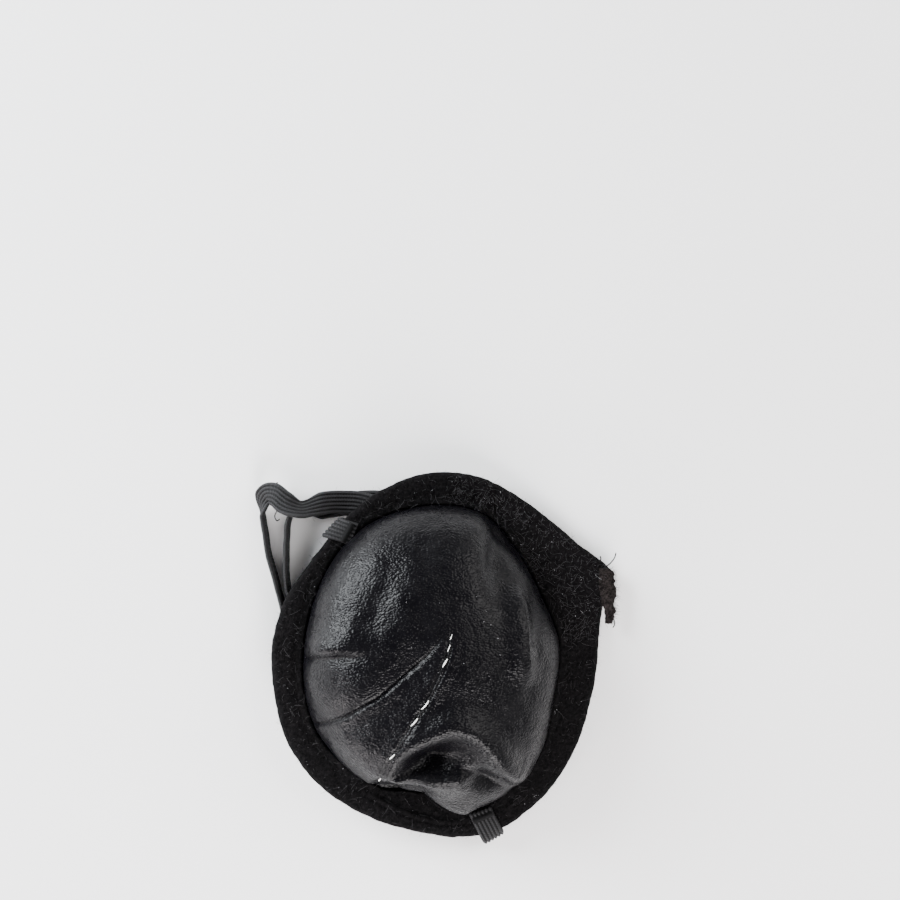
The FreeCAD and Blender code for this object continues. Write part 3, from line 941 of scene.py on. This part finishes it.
def add_tack(name, node, first):
    """A bar of close stitches across the strap's sewn end."""
    i = TACK_STEPS if first else len(STRAP_LINE) - 1 - TACK_STEPS
    middle, side, up = STRAP_LINE[i], unit(STRAP_SIDE[i]), STRAP_UP[i]
    up = up if up[2] > 0 else -up
    along = unit(np.cross(side, up))
    paths = []
    for share in np.linspace(-1, 1, 17):
        base = middle + side * (share * 0.0020) + up * (STRAP_THICK / 2 - 0.00006)
        line = arch(base - along * 0.00055, base + along * 0.00055, 0.00034)
        paths.append(line + up * 0.00008)
    tack = add_piece(name, *tubes(paths, [0.00013] * len(paths), 6), BLACK_THREAD)
    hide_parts(node)


add_dart_stitches()
add_binding_stitches()
add_tack("tack_left", "strap_tack_left", True)
add_tack("tack_bottom", "strap_tack_bottom", False)


def loose_thread(points):
    """A smooth thread through points given as plan places and heights."""
    plan = smooth_line([p[:2] for p in points], 8)
    heights = np.interp(np.linspace(0, len(points) - 1, len(plan)), np.arange(len(points)),
                        [p[2] for p in points])
    return np.column_stack((plan, heights))


def add_loose_threads():
    """Ends of thread at the corner and at the strap's fold."""
    lines = [
        [(0.0325, 0.0174, 0.0032), (0.0338, 0.0184, 0.0038), (0.0347, 0.0196, 0.0042),
         (0.0350, 0.0206, 0.0040)],
        [(0.0318, 0.0186, 0.0026), (0.0320, 0.0193, 0.0032), (0.0319, 0.0199, 0.0031)],
        [(0.0346, 0.0072, 0.0030), (0.0349, 0.0060, 0.0027), (0.0346, 0.0052, 0.0022)],
        [(-0.0345, 0.0292, 0.0016), (-0.0350, 0.0280, 0.0012), (-0.0346, 0.0271, 0.0010),
         (-0.0340, 0.0274, 0.0011)],
        [(-0.0350, 0.0338, 0.0030), (-0.0347, 0.0347, 0.0034), (-0.0341, 0.0350, 0.0034)],
    ]
    paths = [loose_thread(line) for line in lines]
    threads = add_piece("loose_threads", *tubes(paths, [0.00012] * len(paths), 6),
                        BLACK_THREAD)


add_loose_threads()


# Nap and lint ----------------------

def jitter(rng, far):
    return np.array([rng.uniform(-far, far) for _ in range(3)])


def lying(rng, low, high):
    """A direction along the cloth, which rises a little."""
    return unit(np.array((rng.uniform(-1, 1), rng.uniform(-1, 1), rng.uniform(low, high))))


def hair(rng, root, aim, length, curl):
    """A short curved fibre."""
    bend = jitter(rng, 1) * curl
    share = np.linspace(0, 1, 5)[:, None]
    line = root + (aim * share + bend * share ** 2) * length
    line[:, 2] = np.maximum(line[:, 2], 0.00003)
    return line


def add_nap():
    """Fibres that stand off the felt, most of them along the folded edge and the corner."""
    rng = random.Random(11)
    normals = grid_normals(BINDING)
    paths = []
    radii = []
    for _ in range(2600):
        edge = rng.random() < 0.5
        rows = FOLDED_EDGE if edge else FRONT_LEAF
        row = rng.randrange(rows.start, rows.stop)
        spoke = rng.randrange(SPOKES)
        aim = normals[row, spoke] * rng.uniform(0.2, 0.8)
        aim = aim + jitter(rng, 0.7)
        length = rng.uniform(0.0003, 0.0009 if edge else 0.0007)
        paths.append(hair(rng, BINDING[row, spoke], aim, length, 0.6))
        radii.append(np.linspace(0.000016, 0.000008, 5))
    rows, lines = TAPE_END.shape[:2]
    for _ in range(420):
        row = rng.randrange(rows)
        line = rng.choice((lines - 1, lines - 1, 0, rng.randrange(lines)))
        aim = np.array((rng.uniform(0, 1.0), rng.uniform(-0.8, 0.8), rng.uniform(-0.2, 0.6)))
        paths.append(hair(rng, TAPE_END[row, line], aim, rng.uniform(0.0003, 0.0012), 0.7))
        radii.append(np.linspace(0.000022, 0.000010, 5))
    nap = add_piece("felt_nap", *tubes(paths, radii, 3), CUT_FELT)


def add_matted_fibres():
    """Worn grey fibres that lie matted on the felt, most of them towards the corner."""
    rng = random.Random(31)
    paths = []
    radii = []
    for _ in range(1300):
        share = rng.uniform(0.02, 0.24) if rng.random() < 0.6 else rng.random()
        root = BINDING[rng.randrange(4, 31), int(share * SPOKES)] + (0, 0, 0.00003)
        aim = lying(rng, 0.0, 0.12)
        paths.append(hair(rng, root, aim, rng.uniform(0.0005, 0.0015), 1.0))
        radii.append(np.linspace(0.000038, 0.000020, 5))
    fibres = add_piece("felt_fibres", *tubes(paths, radii, 3), GREY_FIBRE)


def add_strap_fuzz():
    """Broken filaments along the elastic's edges."""
    rng = random.Random(5)
    paths = []
    for _ in range(520):
        i = rng.randrange(len(STRAP_LINE))
        sign = rng.choice((-1, 1))
        root = STRAP_LINE[i] + STRAP_SIDE[i] * (sign * EDGE * 0.97)
        root = root + STRAP_UP[i] * rng.uniform(-0.0003, 0.0003)
        aim = unit(STRAP_SIDE[i]) * sign * rng.uniform(0.2, 0.9)
        aim = aim + jitter(rng, 0.7)
        root[2] = max(root[2], 0.00005)
        paths.append(hair(rng, root, aim, rng.uniform(0.0002, 0.0007), 0.8))
    radii = [np.linspace(0.000018, 0.000009, 5)] * len(paths)
    fuzz = add_piece("strap_fuzz", *tubes(paths, radii, 3), BLACK_ELASTIC)


def add_lint():
    """Pale specks and curls caught in the felt, most of them towards the corner."""
    rng = random.Random(23)
    paths = []
    for _ in range(80):
        spoke = rng.randrange(SPOKES)
        if rng.random() < 0.55:
            spoke = int(rng.uniform(0.03, 0.20) * SPOKES)
        row = rng.randrange(4, 31)
        aim = lying(rng, 0.02, 0.15)
        root = BINDING[row, spoke] + (0, 0, 0.00004)
        long = rng.random() < 0.08
        length = rng.uniform(0.0005, 0.0012) if long else rng.uniform(0.00008, 0.0003)
        paths.append(hair(rng, root, aim, length, 1.2 if long else 0.3))
    flat = DOME.reshape(-1, 3)
    for _ in range(26):
        root = flat[rng.randrange(len(flat))] + (0, 0, 0.00004)
        aim = lying(rng, -0.02, 0.1)
        paths.append(hair(rng, root, aim, rng.uniform(0.0001, 0.00035), 0.4))
    radii = [np.array((0.4, 1, 0.8, 1, 0.4)) * rng.uniform(0.00002, 0.00006) for _ in paths]
    lint = add_piece("felt_lint", *tubes(paths, radii, 4), PALE_LINT)


add_nap()
add_matted_fibres()
add_strap_fuzz()
add_lint()


# Studio ----------------------------

def add_floor():
    """A plain pale table top, wide enough to fill the view."""
    finish = Finish("pale_floor", Roughness=0.7, Specular_IOR_Level=0.2)
    finish.colour(finish.noise(0.15), (0.84, 0.84, 0.84), (0.87, 0.87, 0.87))
    mesh = bpy.data.meshes.new("floor")
    far = 3.0
    mesh.from_pydata([(-far, -far, 0), (far, -far, 0), (far, far, 0), (-far, far, 0)], [],
                     [(0, 1, 2, 3)])
    mesh.materials.append(finish.material)
    floor = bpy.data.objects.new("floor", mesh)
    bpy.context.scene.collection.objects.link(floor)


def add_light(name, place, size, power, colour):
    """A soft square light, turned to the patch."""
    data = bpy.data.lights.new(name, "AREA")
    data.size = size
    data.energy = power
    data.color = colour
    light = bpy.data.objects.new(name, data)
    light.location = place
    aim = Vector((0, 0, 0.01)) - Vector(place)
    light.rotation_euler = aim.to_track_quat("-Z", "Y").to_euler()
    bpy.context.scene.collection.objects.link(light)


def add_world():
    """A pale room, brightest round its walls and dim overhead."""
    world = bpy.data.worlds.new("studio")
    bpy.context.scene.world = world
    world.use_nodes = True
    nodes = world.node_tree.nodes
    links = world.node_tree.links
    place = nodes.new("ShaderNodeTexCoord")
    split = nodes.new("ShaderNodeSeparateXYZ")
    links.new(place.outputs["Generated"], split.inputs["Vector"])
    product = nodes.new("ShaderNodeMath")
    product.operation = "MULTIPLY"
    for i, (low, high, to_low, to_high) in enumerate([(0.0, 0.35, 0.75, 1.0),
                                                      (0.45, 0.88, 1.0, 0.07)]):
        ramp = nodes.new("ShaderNodeMapRange")
        for end, value in (("From Min", low), ("From Max", high),
                           ("To Min", to_low), ("To Max", to_high)):
            ramp.inputs[end].default_value = value
        links.new(split.outputs["Z"], ramp.inputs["Value"])
        links.new(ramp.outputs["Result"], product.inputs[i])
    links.new(product.outputs["Value"], nodes["Background"].inputs["Strength"])
    nodes["Background"].inputs["Color"].default_value = (1.0, 1.0, 1.0, 1)


add_floor()
add_world()
add_light("key", (-0.50, 0.32, 0.24), 0.40, 18.0, (0.93, 0.97, 1.0))
add_light("near", (0.08, -0.55, 0.32), 0.40, 12.0, (1.0, 0.96, 0.96))
add_light("side", (-0.45, -0.36, 0.17), 0.28, 4.5, (1.0, 0.94, 0.95))
add_light("fill", (0.50, 0.30, 0.45), 0.50, 6.0, (1.0, 0.97, 0.96))

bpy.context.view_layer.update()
